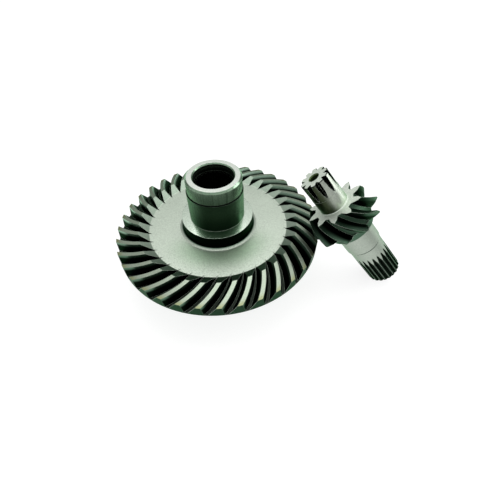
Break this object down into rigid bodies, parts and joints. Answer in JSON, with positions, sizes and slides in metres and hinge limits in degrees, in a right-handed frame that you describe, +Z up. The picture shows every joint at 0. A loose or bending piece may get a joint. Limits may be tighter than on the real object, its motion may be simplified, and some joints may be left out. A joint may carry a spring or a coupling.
{
  "type": "ring and pinion gear set",
  "caption": "Spiral bevel ring gear on a long splined hub, with its matching pinion shaft leaning on it, for turning a drive through a right angle.",
  "frame": {"origin": "on the ring gear's bore axis, at the end face of its back hub, on which the set stands", "axes": "+Z up along the ring gear's bore axis, with the teeth and the long hub upwards; the pinion leans on the ring gear's teeth from the +X side, 18.4 degrees towards -Y"},
  "size_m": [0.2114, 0.152, 0.0926],
  "materials": {
    "ring_steel": "machined and shot blasted gear steel, green-grey, with dark tooth flanks",
    "pinion_steel": "machined gear steel, green-grey, with dark tooth flanks and dark splines"
  },
  "bodies": {
    "root": {"ring_gear": "ring_steel", "pinion_shaft": "pinion_steel"}
  },
  "joints": []
}
